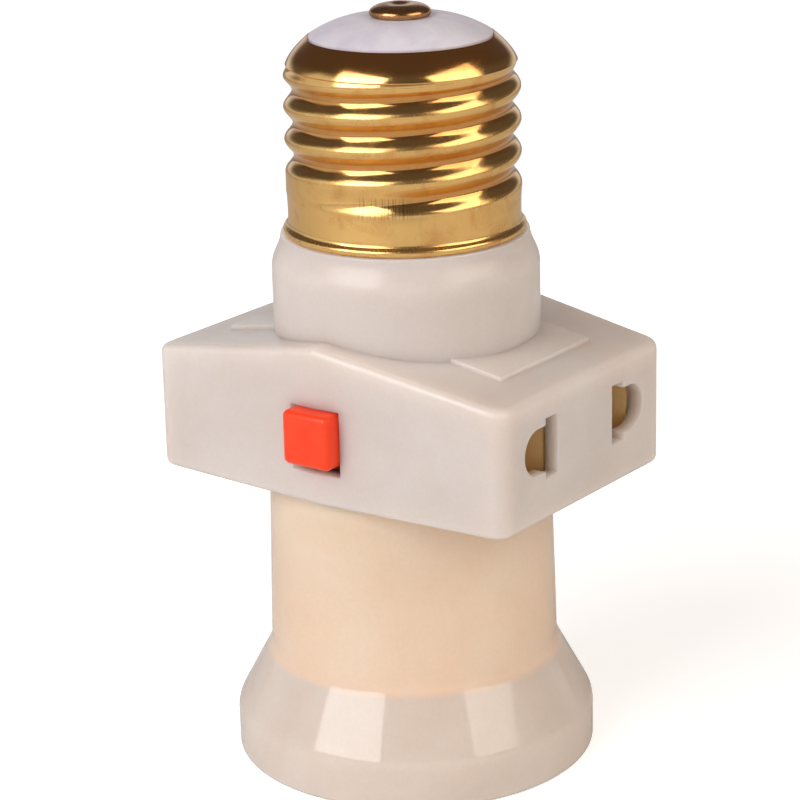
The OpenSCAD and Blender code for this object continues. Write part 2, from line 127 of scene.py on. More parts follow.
def arc(x, y, wide, high, turns):  # points on an ellipse round (x, y)
    return [(x + wide * math.cos(a), y + high * math.sin(a)) for a in turns]


def filleted(points, steps):  # points are (r, z) or (r, z, rounding)
    path = []
    n = len(points)
    for k, p in enumerate(points):
        size = p[2] if len(p) > 2 else 0
        here = Vector(p[:2])
        if not size:
            path.append(tuple(here))
            continue
        before = Vector(points[k - 1][:2]) - here
        after = Vector(points[(k + 1) % n][:2]) - here
        half = before.angle(after) / 2
        reach = min(size / math.tan(half), before.length * mostOfSide, after.length * mostOfSide)
        size = reach * math.tan(half)
        middle = here + (before.normalized() + after.normalized()).normalized() * (size / math.sin(half))
        start = here + before.normalized() * reach - middle
        end = here + after.normalized() * reach - middle
        turn = math.atan2(start.x * end.y - start.y * end.x, start.dot(end))
        for i in range(steps + 1):
            a = turn * i / steps
            path.append((middle.x + start.x * math.cos(a) - start.y * math.sin(a),
                         middle.y + start.x * math.sin(a) + start.y * math.cos(a)))
    return path


def prism(name, outline, low, high, axis="z"):  # a flat outline drawn out along one axis
    places = {"x": lambda p, q, t: (t, p, q),
              "y": lambda p, q, t: (p, t, q),
              "z": lambda p, q, t: (p, q, t)}
    n = len(outline)
    verts = [places[axis](p, q, t) for t in (low, high) for p, q in outline]
    faces = [[i, (i + 1) % n, n + (i + 1) % n, n + i] for i in range(n)]
    faces += [list(range(n))[::-1], list(range(n, 2 * n))]
    return newSolid(name, verts, faces)


def block(name, low, high):
    corners = [(low[0], low[1]), (high[0], low[1]), (high[0], high[1]), (low[0], high[1])]
    return prism(name, corners, low[2], high[2])


# Node tools

gridStep = 180  # from one node to the next in the editor
noiseSpan = (0.3, 0.7)  # nearly all of a noise lies between these


def give(tree, socket, value):  # links another node's socket, or sets a plain value
    if isinstance(value, bpy.types.NodeSocket):
        tree.links.new(value, socket)
    else:
        socket.default_value = value


def addNode(tree, kind, x, y, **settings):  # a setting is a property of the node or one of its sockets
    node = tree.nodes.new("ShaderNode" + kind)
    node.location = (x * gridStep, y * gridStep)
    for key, value in settings.items():
        if hasattr(node, key):
            setattr(node, key, value)
        else:
            give(tree, node.inputs[key.replace("_", " ")], value)
    return node


def useGroup(tree, group, x, y, **settings):
    return addNode(tree, "Group", x, y, node_tree=group, **settings)


def calculate(tree, x, y, operation, *values):
    node = addNode(tree, "Math", x, y, operation=operation)
    for socket, value in zip(node.inputs, values):
        give(tree, socket, value)
    return node.outputs[0]


def mapped(tree, value, x, y, fromMin, fromMax, toMin=0, toMax=1, kind="LINEAR"):
    node = addNode(tree, "MapRange", x, y, interpolation_type=kind, Value=value, From_Min=fromMin,
                   From_Max=fromMax, To_Min=toMin, To_Max=toMax)
    return node.outputs["Result"]


def mixColour(tree, x, y, first, second, share, how="MIX"):
    node = addNode(tree, "Mix", x, y, data_type="RGBA", blend_type=how, Factor=share)
    give(tree, node.inputs[6], first)  # 6 and 7 are the colours of this node, and 2 is the mixed one
    give(tree, node.inputs[7], second)
    return node.outputs[2]


def addBump(tree, shader, height, strength, distance):
    bump = addNode(tree, "Bump", 3, -2, Strength=strength, Distance=distance, Height=height)
    tree.links.new(bump.outputs["Normal"], shader.inputs["Normal"])


def newGroup(name, inputs, outputs):
    tree = bpy.data.node_groups.new(name, "ShaderNodeTree")
    for label, value in inputs.items():
        socket = tree.interface.new_socket(label, in_out="INPUT", socket_type="NodeSocketFloat")
        socket.default_value = value
    for label in outputs:
        tree.interface.new_socket(label, in_out="OUTPUT", socket_type="NodeSocketFloat")
    given, made = tree.nodes.new("NodeGroupInput"), tree.nodes.new("NodeGroupOutput")
    given.location, made.location = (-8 * gridStep, 0), (3 * gridStep, 0)
    return tree, given, made


def handOut(tree, made, **values):
    for label, value in values.items():
        tree.links.new(value, made.inputs[label])


def newMaterial(name, **constants):
    material = bpy.data.materials.new(name)
    material.use_nodes = True
    tree = material.node_tree
    shader = tree.nodes["Principled BSDF"]
    shader.location = (5 * gridStep, 0)
    for key, value in constants.items():
        shader.inputs[key.replace("_", " ")].default_value = value
    return material, tree, shader


def shade(red, green, blue):  # a colour as it looks on screen, made linear
    linear = [((c / 255 + 0.055) / 1.055) ** 2.4 if c > 10 else c / 3294.6 for c in (red, green, blue)]
    return (*linear, 1)


# Effects that the materials share; sizes are per metre, so a larger one is finer

mouldedMarks = {"stretch": (900, 900, 140), "turn": (0.5, 0.3, 0.9), "from": 0.6, "to": 0.78, "depth": -0.2,
                "speckleHeight": 0.12}


def makeMouldedSkin():  # cloudy flow marks, fine speckle and handling scuffs of a moulded plastic
    marks = mouldedMarks
    tree, given, made = newGroup("mouldedSkin", {"Cloud Size": 90, "Speckle Size": 2600, "Scuff": 0.5},
                                 ["Cloud", "Speckle", "Scuffs", "Height"])
    place = addNode(tree, "TexCoord", -6, 0).outputs["Object"]
    cloud = addNode(tree, "TexNoise", -3, 2, Vector=place, Scale=given.outputs["Cloud Size"],
                    Detail=4, Roughness=0.55, Distortion=0.6).outputs["Fac"]
    speckle = addNode(tree, "TexNoise", -3, 0, Vector=place, Scale=given.outputs["Speckle Size"],
                      Detail=2, Roughness=0.6).outputs["Fac"]
    drawn = addNode(tree, "Mapping", -4, -2, Vector=place, Scale=marks["stretch"], Rotation=marks["turn"])
    scuff = addNode(tree, "TexNoise", -3, -2, Vector=drawn.outputs["Vector"], Scale=1.0,
                    Detail=3, Roughness=0.7, Distortion=1.2).outputs["Fac"]
    lines = mapped(tree, scuff, -1, -2, marks["from"], marks["to"])
    scuffs = calculate(tree, 0, -2, "MULTIPLY", lines, given.outputs["Scuff"])
    wave = calculate(tree, 0, 1, "MULTIPLY_ADD", speckle, marks["speckleHeight"], cloud)
    height = calculate(tree, 1, -1, "MULTIPLY_ADD", scuffs, marks["depth"], wave)
    handOut(tree, made, Cloud=cloud, Speckle=speckle, Scuffs=scuffs, Height=height)
    return tree


rolledMarks = {"stretch": (5200, 5200, 260), "from": 0.56, "to": 0.7, "depth": -0.6,
               "tarnishFrom": 0.48, "tarnishTo": 0.74}


def makeRolledMetal():  # rolling lines round the axis, fine scratches and brown tarnish patches
    marks = rolledMarks
    tree, given, made = newGroup("rolledMetal", {"Line Size": 2400, "Patch Size": 260, "Scratch": 0.5},
                                 ["Tarnish", "Scratches", "Height"])
    place = addNode(tree, "TexCoord", -6, 0).outputs["Object"]
    split = addNode(tree, "SeparateXYZ", -5, 1, Vector=place)
    lines = addNode(tree, "TexNoise", -3, 2, noise_dimensions="1D", W=split.outputs["Z"],
                    Scale=given.outputs["Line Size"], Detail=3, Roughness=0.7).outputs["Fac"]
    patch = addNode(tree, "TexNoise", -3, 0, Vector=place, Scale=given.outputs["Patch Size"],
                    Detail=5, Roughness=0.6, Distortion=0.8).outputs["Fac"]
    tarnish = mapped(tree, patch, -1, 0, marks["tarnishFrom"], marks["tarnishTo"])
    drawn = addNode(tree, "Mapping", -4, -2, Vector=place, Scale=marks["stretch"])
    scratch = addNode(tree, "TexNoise", -3, -2, Vector=drawn.outputs["Vector"], Scale=1.0,
                      Detail=2, Roughness=0.6, Distortion=0.3).outputs["Fac"]
    thin = mapped(tree, scratch, -1, -2, marks["from"], marks["to"])
    scratches = calculate(tree, 0, -2, "MULTIPLY", thin, given.outputs["Scratch"])
    height = calculate(tree, 1, -1, "MULTIPLY_ADD", scratches, marks["depth"], lines)
    handOut(tree, made, Tarnish=tarnish, Scratches=scratches, Height=height)
    return tree


def makeReachMask():  # 1 above a height and 1 beyond a distance from the axis, faded over a soft edge
    tree, given, made = newGroup("reachMask", {"Height": 0.011, "Height Edge": 0.001, "Radius": 0.02,
                                               "Radius Edge": 0.001}, ["Above", "Outside"])
    place = addNode(tree, "TexCoord", -6, 0).outputs["Object"]
    split = addNode(tree, "SeparateXYZ", -5, 0, Vector=place)
    flat = addNode(tree, "CombineXYZ", -4, -1, X=split.outputs["X"], Y=split.outputs["Y"]).outputs["Vector"]
    radius = addNode(tree, "VectorMath", -3, -1, operation="LENGTH", Vector=flat).outputs["Value"]
    sides = ((1, split.outputs["Z"], "Height", "Above"), (-1, radius, "Radius", "Outside"))
    for y, value, level, label in sides:
        away = calculate(tree, -2, y, "SUBTRACT", value, given.outputs[level])
        share = calculate(tree, -1, y, "DIVIDE", away, given.outputs[level + " Edge"])
        soft = mapped(tree, share, 0, y, -0.5, 0.5, kind="SMOOTHSTEP")
        tree.links.new(soft, made.inputs[label])
    return tree


# where a line and the patch begin and are full, the patch in halves of its size
markFade = {"lineFrom": 0.5, "lineTo": 0.62, "patchOut": 1.15, "patchFull": 0.6}


def makeToolMarks():  # upright hairline marks within a patch of a band round the axis
    fade = markFade
    tree, given, made = newGroup("toolMarks", {"Middle Height": 0.0667, "Half Height": 0.0012,
                                               "Middle Turn": 0.46, "Half Turn": 0.26, "Line Size": 55},
                                 ["Marks"])
    place = addNode(tree, "TexCoord", -6, 0).outputs["Object"]
    split = addNode(tree, "SeparateXYZ", -5, 0, Vector=place)
    back = calculate(tree, -4, -1, "MULTIPLY", split.outputs["Y"], -1)
    turn = calculate(tree, -3, 0, "ARCTAN2", split.outputs["X"], back)
    lines = addNode(tree, "TexNoise", -2, 1, noise_dimensions="1D", W=turn, Scale=given.outputs["Line Size"],
                    Detail=1, Roughness=0.4).outputs["Fac"]
    marks = mapped(tree, lines, -1, 1, fade["lineFrom"], fade["lineTo"])
    for y, value, kind in ((-1, turn, "Turn"), (-3, split.outputs["Z"], "Height")):
        off = calculate(tree, -2, y, "SUBTRACT", value, given.outputs["Middle " + kind])
        share = calculate(tree, -1, y, "DIVIDE", off, given.outputs["Half " + kind])
        away = calculate(tree, 0, y, "ABSOLUTE", share)
        inside = mapped(tree, away, 1, y, fade["patchOut"], fade["patchFull"], kind="SMOOTHSTEP")
        marks = calculate(tree, 1, y + 2, "MULTIPLY", marks, inside)
    tree.links.new(marks, made.inputs["Marks"])
    return tree


mouldedSkin = makeMouldedSkin()
rolledMetal = makeRolledMetal()
reachMask = makeReachMask()
toolMarks = makeToolMarks()


# Materials: rough is from clean to scuffed, and lengths are in metres

plasticSkin = {
    "cloudSize": 55, "clouded": 0.6, "speckleSize": 2400, "speckleSpan": (0.35, 0.65),
    "speckle": (0.985, 1.01), "scuff": 0.25, "bump": 0.035, "bumpHeight": 0.0004, "translucency": 1.0,
    # the last two keys place the painted show-through of the brass shell inside, from a height over a soft
    # edge
    "reachByColour": (1.0, 0.88, 0.76), "bending": 1.49, "paintedShowThroughFrom": 0.0121, "paintedShowThroughEdge": 0.0011,
}
plasticLook = {  # a plain colour, the darkest and the lightest cloud; reach is how far light gets in
    "milkyPlastic": {"colours": (shade(224, 208, 200), shade(215, 196, 187), shade(229, 216, 209)),
                     "paintedShowThrough": None, "rough": (0.25, 0.38), "reach": 0.0058},
    "creamPlastic": {"colours": (shade(218, 205, 194), shade(209, 191, 178), shade(225, 213, 203)),
                     # the next colours are painted show-through of the brass shell inside the tube
                     "paintedShowThrough": (shade(240, 211, 187), shade(233, 199, 171), shade(244, 219, 199)),
                     "rough": (0.07, 0.2), "reach": 0.0026},
}


def plasticColour(tree, skin, colours, x, y):
    plain, dark, light = colours
    cloudy = mixColour(tree, x, y, dark, light, mapped(tree, skin.outputs["Cloud"], x - 1, y, *noiseSpan))
    return mixColour(tree, x + 1, y, plain, cloudy, plasticSkin["clouded"])


def makePlastic(name):
    s, look = plasticSkin, plasticLook[name]
    material, tree, shader = newMaterial(name, Subsurface_Weight=s["translucency"],
                                         Subsurface_Scale=look["reach"],
                                         Subsurface_Radius=s["reachByColour"], IOR=s["bending"])
    skin = useGroup(tree, mouldedSkin, -5, 0, Cloud_Size=s["cloudSize"], Speckle_Size=s["speckleSize"],
                    Scuff=s["scuff"])
    colour = plasticColour(tree, skin, look["colours"], -3, 2)
    if look["paintedShowThrough"]:  # painted show-through: light off the brass shell inside, seen through the wall, is painted as a warmer zone
        paintedShowThrough = plasticColour(tree, skin, look["paintedShowThrough"], -3, 4)
        mask = useGroup(tree, reachMask, -3, 6, Height=s["paintedShowThroughFrom"], Height_Edge=s["paintedShowThroughEdge"])
        colour = mixColour(tree, 0, 3, colour, paintedShowThrough, mask.outputs["Above"])
    grey = mapped(tree, skin.outputs["Speckle"], -2, 0, *s["speckleSpan"], *s["speckle"])
    speckled = addNode(tree, "CombineColor", -1, 0, Red=grey, Green=grey, Blue=grey).outputs[0]
    give(tree, shader.inputs["Base Color"], mixColour(tree, 1, 2, colour, speckled, 1.0, "MULTIPLY"))
    give(tree, shader.inputs["Roughness"], mapped(tree, skin.outputs["Scuffs"], 1, 0, 0, 1, *look["rough"]))
    addBump(tree, shader, skin.outputs["Height"], s["bump"], s["bumpHeight"])
    return material


commonMetal = {"metallic": 1.0, "lineSize": 2400, "patchSize": 260, "scratch": 0.5, "tarnish": 0.5,
               "mostWear": 1.4, "bump": 0.05, "bumpHeight": 0.0002, "root": None, "marks": None}
metalLook = {  # root and crest are a radius of the thread and the width over which it fades
    "rolledBrass": {"bright": shade(231, 187, 117), "dull": shade(190, 122, 64), "rough": (0.12, 0.28),
                    "bump": 0.02, "root": (0.01235, 0.0005), "crest": (0.01285, 0.0003), "rootBright": 0.35,
                    "marks": shade(120, 84, 44), "marked": 0.45},
    "innerBrass": {"bright": shade(216, 166, 92), "dull": shade(158, 108, 56), "rough": (0.2, 0.42),
                   "tarnish": 0.8},
    "stripBrass": {"bright": shade(255, 222, 160), "dull": shade(230, 184, 120), "rough": (0.3, 0.5),
                   "tarnish": 0.8, "lineSize": 900, "metallic": 0.15},
    "contactBronze": {"bright": shade(186, 138, 92), "dull": shade(104, 70, 44), "rough": (0.2, 0.45),
                      "tarnish": 0.9, "patchSize": 500},
    "platedSteel": {"bright": shade(196, 196, 198), "dull": shade(120, 116, 110), "rough": (0.22, 0.4),
                    "patchSize": 400},
}


def makeMetal(name):
    look = {**commonMetal, **metalLook[name]}
    material, tree, shader = newMaterial(name, Metallic=look["metallic"])
    skin = useGroup(tree, rolledMetal, -5, 0, Line_Size=look["lineSize"], Patch_Size=look["patchSize"],
                    Scratch=look["scratch"])
    patchy = mapped(tree, skin.outputs["Tarnish"], -3, 1, 0, 1, 0, look["tarnish"])
    colour = mixColour(tree, -1, 1, look["bright"], look["dull"], patchy)
    wear = calculate(tree, -1, 0, "ADD", skin.outputs["Tarnish"], skin.outputs["Scratches"])
    if look["root"]:  # the roots of the thread are drawn darker, towards the dull colour, and its crests are rubbed rougher
        root = useGroup(tree, reachMask, -3, 3, Radius=look["root"][0], Radius_Edge=look["root"][1])
        bright = mapped(tree, root.outputs["Outside"], -2, 3, 0, 1, look["rootBright"], 1)
        colour = mixColour(tree, 0, 2, look["dull"], colour, bright)
        crest = useGroup(tree, reachMask, -3, 7, Radius=look["crest"][0], Radius_Edge=look["crest"][1])
        wear = calculate(tree, 0, -1, "ADD", crest.outputs["Outside"], wear)
    if look["marks"]:
        marks = useGroup(tree, toolMarks, -3, 5)
        share = mapped(tree, marks.outputs["Marks"], -2, 5, 0, 1, 0, look["marked"])
        colour = mixColour(tree, 1, 2, colour, look["marks"], share)
    give(tree, shader.inputs["Base Color"], colour)
    give(tree, shader.inputs["Roughness"], mapped(tree, wear, 1, 0, 0, look["mostWear"], *look["rough"]))
    addBump(tree, shader, skin.outputs["Height"], look["bump"], look["bumpHeight"])
    return material


smallBumpHeight = 0.0003
smallLook = {  # by and roughBy name the effect that shifts the colour and the roughness
    "insulatorCap": {"constants": {"IOR": 1.5, "Subsurface_Weight": 0.2, "Subsurface_Scale": 0.0008},
                     "cloudSize": 220, "speckleSize": 3200, "scuff": 0.8, "by": "Cloud",
                     "dark": shade(212, 204, 218), "light": shade(232, 228, 236),
                     "dirt": shade(176, 160, 150), "dirty": 0.3, "paintedShade": None,
                     "roughBy": "Speckle", "roughSpan": noiseSpan, "rough": (0.34, 0.46), "bump": 0.1},
    "knobPlastic": {"constants": {"IOR": 1.48, "Subsurface_Weight": 0.12, "Subsurface_Scale": 0.0006,
                                  "Subsurface_Radius": (1.0, 0.25, 0.1)},
                    "cloudSize": 300, "speckleSize": 3600, "scuff": 0.7, "by": "Cloud",
                    "dark": shade(255, 58, 8), "light": shade(255, 70, 16),
                    # the dark brown on this line is painted shade in the switch window, on the flange behind
                    # the knob's face
                    "dirt": None, "paintedShade": shade(104, 34, 14), "paintedShadeFrom": 0.0166, "paintedShadeEdge": 0.001,
                    "roughBy": "Scuffs", "roughSpan": (0, 1), "rough": (0.3, 0.5), "bump": 0.08},
    "pressedBoard": {"constants": {"IOR": 1.45},
                     "cloudSize": 500, "speckleSize": 4200, "scuff": 0.9, "by": "Speckle",
                     "dark": shade(96, 62, 36), "light": shade(150, 104, 66), "dirt": None, "paintedShade": None,
                     "roughBy": "Cloud", "roughSpan": noiseSpan, "rough": (0.55, 0.75), "bump": 0.2},
}


def makeSmallPlastic(name):
    look = smallLook[name]
    material, tree, shader = newMaterial(name, **look["constants"])
    skin = useGroup(tree, mouldedSkin, -5, 0, Cloud_Size=look["cloudSize"], Speckle_Size=look["speckleSize"],
                    Scuff=look["scuff"])
    colour = mixColour(tree, -2, 1, look["dark"], look["light"],
                       mapped(tree, skin.outputs[look["by"]], -3, 1, *noiseSpan))
    if look["dirt"]:  # dirt sits in the scuffs
        scuffed = mapped(tree, skin.outputs["Scuffs"], -1, 0, 0, 1, 0, look["dirty"])
        colour = mixColour(tree, 0, 1, colour, look["dirt"], scuffed)
    if look["paintedShade"]:  # painted shade in the switch window: the flange, deeper than the knob's face, is drawn dark brown
        outsidePaintedShade = useGroup(tree, reachMask, -3, 4, Radius=look["paintedShadeFrom"], Radius_Edge=look["paintedShadeEdge"])
        colour = mixColour(tree, 0, 2, look["paintedShade"], colour, outsidePaintedShade.outputs["Outside"])
    rough = mapped(tree, skin.outputs[look["roughBy"]], -1, -1, *look["roughSpan"], *look["rough"])
    give(tree, shader.inputs["Base Color"], colour)
    give(tree, shader.inputs["Roughness"], rough)
    addBump(tree, shader, skin.outputs["Height"], look["bump"], smallBumpHeight)
    return material


finishes = {name: makePlastic(name) for name in plasticLook}
finishes.update({name: makeMetal(name) for name in metalLook})
finishes.update({name: makeSmallPlastic(name) for name in smallLook})
print("materials made")


def dress(piece, finish):
    piece.data.materials.clear()
    piece.data.materials.append(finishes[finish])


def finishPiece(piece, finish, slotName, body, *nodes):
    dress(piece, finish)
    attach(piece, body)
    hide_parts(*nodes)


# Screw base: rolled bead, plain band, coarse thread and turned-in top, all one brass sheet

thread = {"pitch": 3.63, "growOver": 1.0}  # the groove grows to its full depth over this much height


def grooveGrowth(z, turn, firstZ):  # no groove where the middle of its turn is below firstZ
    whole = 2 * math.pi
    middle = z + thread["pitch"] * (math.pi + whole * math.floor(turn / whole) - turn) / whole
    s = min(1, max(0, (middle - firstZ) / thread["growOver"]))
    return s * s * (3 - 2 * s)


def threadedShell(name, profile, steps, phaseZ, firstZ):  # the profile's points are (r, z, depth of thread)
    verts, rings = [], []
    for r, z, depth in profile:
        ring = []
        for i in range(steps):
            angle = 2 * math.pi * i / steps
            turn = 2 * math.pi * (z - phaseZ) / thread["pitch"] - angle
            reach = r + depth * (1 - (1 - math.cos(turn)) * grooveGrowth(z, turn, firstZ))
            ring.append((reach * math.cos(angle), reach * math.sin(angle), z))
        addRing(verts, rings, ring)
    return newSolid(name, verts, ringFaces(rings), rollSharp)


def threadRows(r, depth, low, high, step, fade):  # the thread fades out below its upper end
    rows = []
    for i in range(int((high - low) / step) + 1):
        z = low + i * step
        rows.append((r, z, depth * min(1, max(0, (high - z) / fade))))
    return rows


def unthreaded(points):
    return [(r, z, 0) for r, z in points]


screwBase = {  # the heights of band and thread are above the seat
    "seat": 61.4, "height": 21.7, "crest": 13.1, "root": 12.1, "band": 12.98, "phase": 77.05, "sheet": 0.4,
    "beadOut": 0.1, "beadRound": 0.48, "bandEnd": 4.4, "firstGroove": 5.3, "threadFrom": 4.8,
    "threadTo": 18.8, "threadFade": 1.3, "rowsPerPitch": 18, "steps": 200,
    "domeStep": 0.15, "domeIn": 2.55, "domeHigh": 3.6, "domeBend": 1.7, "domeStart": 0.22, "domeRows": 14,
}


def makeScrewShell():
    s = screwBase
    seat, top, band, sheet = s["seat"], s["seat"] + s["height"], s["band"], s["sheet"]
    mean, depth = (s["crest"] + s["root"]) / 2, (s["crest"] - s["root"]) / 2
    outer = threadRows(mean, depth, seat + s["threadFrom"], seat + s["threadTo"],
                       thread["pitch"] / s["rowsPerPitch"], s["threadFade"])
    inner = [(r - sheet, z, d) for r, z, d in outer]
    bead = arc(band + s["beadOut"], seat + s["beadRound"], s["beadRound"], s["beadRound"],
               [math.radians(a) for a in range(-90, 71, 10)])
    plainBand = [(band + 0.03, seat + 1.15), (band, seat + 1.5), (band, seat + 3),
                 ((band + s["crest"]) / 2, seat + s["bandEnd"])]
    dome = []
    for i in range(s["domeRows"] + 1):
        t = s["domeStart"] + (1 - s["domeStart"]) * i / s["domeRows"]
        dome.append((s["crest"] - s["domeStep"] - s["domeIn"] * t ** s["domeBend"],
                     top - s["domeHigh"] * (1 - t)))
    inside = [(r - sheet * 0.8, z - sheet * 0.7) for r, z in dome]
    foot = [(band - sheet, seat + s["bandEnd"]), (band - sheet, seat + 0.3)]
    outside = unthreaded(bead + plainBand) + outer + unthreaded(dome)
    profile = outside + unthreaded(inside[::-1]) + inner[::-1] + unthreaded(foot)
    shell = threadedShell("screwShell", profile, s["steps"], s["phase"], seat + s["firstGroove"])
    finishPiece(shell, "rolledBrass", "brass", "holder", "screw_shell")


insulator = {"bore": 1.3, "ceiling": 0.6, "foot": 80, "crownUp": 2.1, "crownFrom": 3.9, "crownWide": 6.2,
             "crownDrop": 1.9, "crownRows": 24, "steps": 128}


def makeInsulatorCap():
    c = insulator
    top, rows = screwBase["seat"] + screwBase["height"], c["crownRows"]
    crown = [(c["crownFrom"] + c["crownWide"] * i / rows,
              top + c["crownUp"] - c["crownDrop"] * (i / rows) ** 2) for i in range(rows + 1)]
    skirt = [(10.05, top - 0.3), (10.5, top - 1, 0.4), (11, top - 1.6, 0.4), (11.25, top - 2.2),
             (11.25, c["foot"]), (8, c["foot"]), (7.4, top - c["ceiling"]), (c["bore"], top - c["ceiling"])]
    profile = [(c["bore"], top + c["crownUp"])] + crown + filleted(skirt, 3)
    cap = revolved("insulatorDome", profile, c["steps"])
    finishPiece(cap, "insulatorCap", "insulator", "holder", "base_insulator")


button = {"shank": 1.25, "foot": 2.1, "footThick": 0.5, "collar": 3.1, "headFrom": 1.3, "headWide": 2.12,
          "headUp": 0.42, "headHigh": 0.98, "steps": 96, "sharp": 45}


def makeCentreContact():  # a rivet with a rounded head, dimpled in the middle
    b = button
    seat = screwBase["seat"] + screwBase["height"] + insulator["crownUp"]
    foot = seat - insulator["crownUp"] - insulator["ceiling"] - b["footThick"]
    shank = filleted([(0, foot - 0.5), (b["foot"], foot - 0.5, 0.15), (b["foot"], foot), (b["shank"], foot),
                      (b["shank"], seat), (b["collar"], seat)], 3)
    head = arc(b["headFrom"], seat + b["headUp"], b["headWide"], b["headHigh"],
               [math.radians(a) for a in range(-20, 91, 8)])
    dimple = [(1.05, seat + 1.33), (0.7, seat + 1.2), (0.3, seat + 1.14), (0, seat + 1.13)]
    contact = revolved("contactButton", shank + head + dimple, b["steps"], closed=False, sharp=b["sharp"])
    finishPiece(contact, "contactBronze", "contact_brass", "holder", "centre_contact")


makeScrewShell()
makeInsulatorCap()
makeCentreContact()
print("screw base made")


# Upper housing: the box with its roof ridge, the neck, the switch window and the outlet holes

housing = {
    "length": 47.6, "endDepth": 32.2, "midDepth": 35.2, "low": 33.8, "endTop": 48.1, "midTop": 51.9,
    "wall": 1.8, "corner": 2.1, "cornerSteps": 9, "ridgeRound": 5, "ridgeSteps": 3, "edge": 0.9,
    "edgeSteps": 6, "smallEdge": 0.14, "landY": 15.4,
    "neck": 15, "neckFoot": 40, "shoulder": 3.8, "shoulderIn": 1.1, "shoulderRows": 24, "neckSteps": 144,
    "spigot": 12.7, "spigotTop": 65.6, "stem": 11.6, "stemFrom": 66.3, "stemTop": 80,
    "bore": 13.2, "boreTop": 57.8, "stemBore": 9.8, "stemBoreFrom": 59, "boreSteps": 96,
    "padFrom": 12, "padTo": 18.7, "padHalf": 8.8, "padHeight": 0.45,
    "windowX": 3.27, "windowLow": 37.55, "windowHigh": 45.02, "windowY": (-20, -14.4),
    "pinY": 9.2, "pinZ": 42.0, "pinHole": 2.6, "pinSteps": 40,
    "bladeHeight": 6.8, "bladeFrom": 1.4, "bladeTo": 3.8,
}


def boxPlan(inset):
    h = housing
    half, endY = h["length"] / 2, h["endDepth"] / 2
    turn = math.atan((h["midDepth"] - h["endDepth"]) / 2 / half)
    nx, ny = math.sin(turn), math.cos(turn)
    reach = nx * half + ny * endY
    cornerX = half - h["corner"]
    cornerY = (reach - h["corner"] - nx * cornerX) / ny
    ridgeY = (reach - h["ridgeRound"]) / ny
    quarter = []  # from the back ridge to the end face
    for x, y, r, start, end, steps in (
            (0, ridgeY, h["ridgeRound"], math.pi / 2, math.pi / 2 - turn, h["ridgeSteps"]),
            (cornerX, cornerY, h["corner"], math.pi / 2 - turn, 0, h["cornerSteps"])):
        turns = [start + (end - start) * i / steps for i in range(steps + 1)]
        quarter += arc(x, y, r - inset, r - inset, turns)
    right = [(x, -y) for x, y in quarter] + quarter[::-1]  # from the front ridge round the end face
    return right + [(-x, y) for x, y in right[-2:0:-1]]


def roofAt(x):
    h = housing
    return h["midTop"] - (h["midTop"] - h["endTop"]) * abs(x) / (h["length"] / 2)


def makeBoxBlank():
    edge, low, steps = housing["edge"], housing["low"], housing["edgeSteps"]
    verts, rings = [], []
    turns = [math.pi / 2 * k / steps for k in range(steps + 1)]
    for a in turns:  # round the lower edge
        plan = boxPlan(edge * (1 - math.sin(a)))
        addRing(verts, rings, [(x, y, low + edge * (1 - math.cos(a))) for x, y in plan])
    for a in turns:  # round the edge of the roof
        plan = boxPlan(edge * (1 - math.cos(a)))
        addRing(verts, rings, [(x, y, roofAt(x) - edge * (1 - math.sin(a))) for x, y in plan])
    bottom, top, ridge = rings[0], rings[-1], len(rings[0]) // 2
    faces = ringFaces(rings, False) + [bottom[::-1], top[:ridge + 1], top[ridge:] + top[:1]]
    return newSolid("housingShell", verts, faces, rollSharp)


def hollowPlan(gap=0):  # the room inside the walls, with a flat behind the switch
    h = housing
    x, endY, midY = (size / 2 - h["wall"] - gap for size in (h["length"], h["endDepth"], h["midDepth"]))
    flat = h["landY"] - gap
    cut = x * (midY - flat) / (midY - endY)
    return [(x, -endY), (x, endY), (0, midY), (-x, endY), (-x, -endY), (-cut, -flat), (cut, -flat)]


def pinHole(side, hand):  # a round hole joined to a blade slot, through the wall at one end
    h = housing
    y, z, r, end = h["pinY"], h["pinZ"], h["pinHole"], h["length"] / 2
    near, far = y - h["bladeFrom"], y - h["bladeTo"]
    low, high = z - h["bladeHeight"] / 2, z + h["bladeHeight"] / 2
    outline = arc(y, z, r, r, [math.pi * (i / h["pinSteps"] - 0.5) for i in range(h["pinSteps"] + 1)])
    outline += [(near, z + r), (near, high), (far, high), (far, low), (near, low), (near, z - r)]
    return prism("pinHole", [(hand * p, q) for p, q in outline], side * (end - 4), side * (end + 2), "x")


def neckShoulder():  # drawn in below the bead along half a wave
    h, rows = housing, housing["shoulderRows"]
    return [(h["neck"] - h["shoulderIn"] * (1 - math.cos(math.radians(180 / rows * i))) / 2,
             screwBase["seat"] - h["shoulder"] * (1 - i / rows)) for i in range(rows + 1)]


def roofPad(side):
    h = housing
    low = [(side * x, roofAt(x) - 1) for x in (h["padFrom"], h["padTo"])]
    high = [(side * x, roofAt(x) + h["padHeight"]) for x in (h["padTo"], h["padFrom"])]
    return prism("roofPad", low + high, -h["padHalf"], h["padHalf"], "y")


